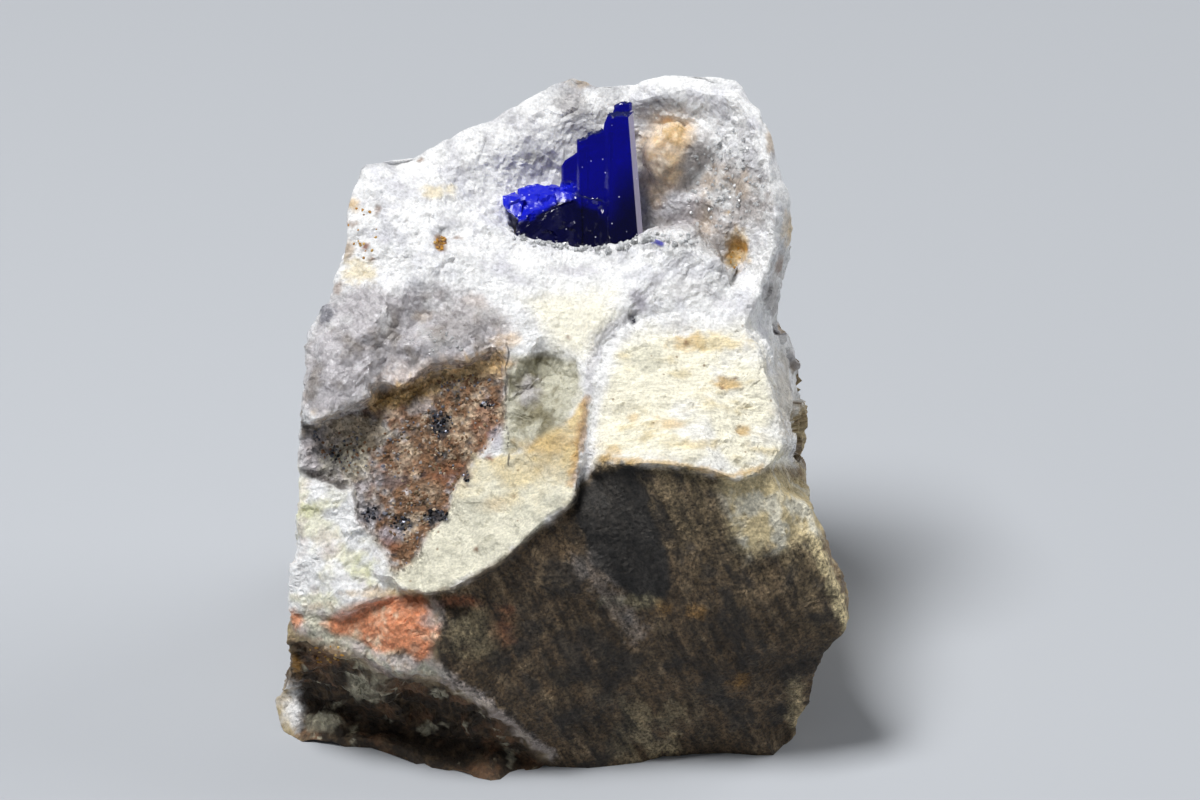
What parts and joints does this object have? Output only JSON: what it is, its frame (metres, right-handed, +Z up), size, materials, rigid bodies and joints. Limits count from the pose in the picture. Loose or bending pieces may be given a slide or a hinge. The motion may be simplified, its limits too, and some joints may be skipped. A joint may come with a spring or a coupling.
{
  "type": "mineral specimen",
  "caption": "Broken block of milky quartz and iron-stained wall rock, with deep blue linarite blades standing in a notch near its top.",
  "frame": {"origin": "middle of the bounding box, on the trimmed base", "axes": "+Z up; the display face with the crystal looks towards -Y and leans back; +X is to the right of a viewer of that face"},
  "size_m": [0.024, 0.0194, 0.0245],
  "materials": {
    "quartz_matrix": "rough broken milky quartz, cream and brown altered rock",
    "linarite": "vitreous, translucent deep blue"
  },
  "bodies": {
    "root": {"quartz_matrix": "quartz_matrix", "linarite_crystal": "linarite"}
  },
  "joints": []
}
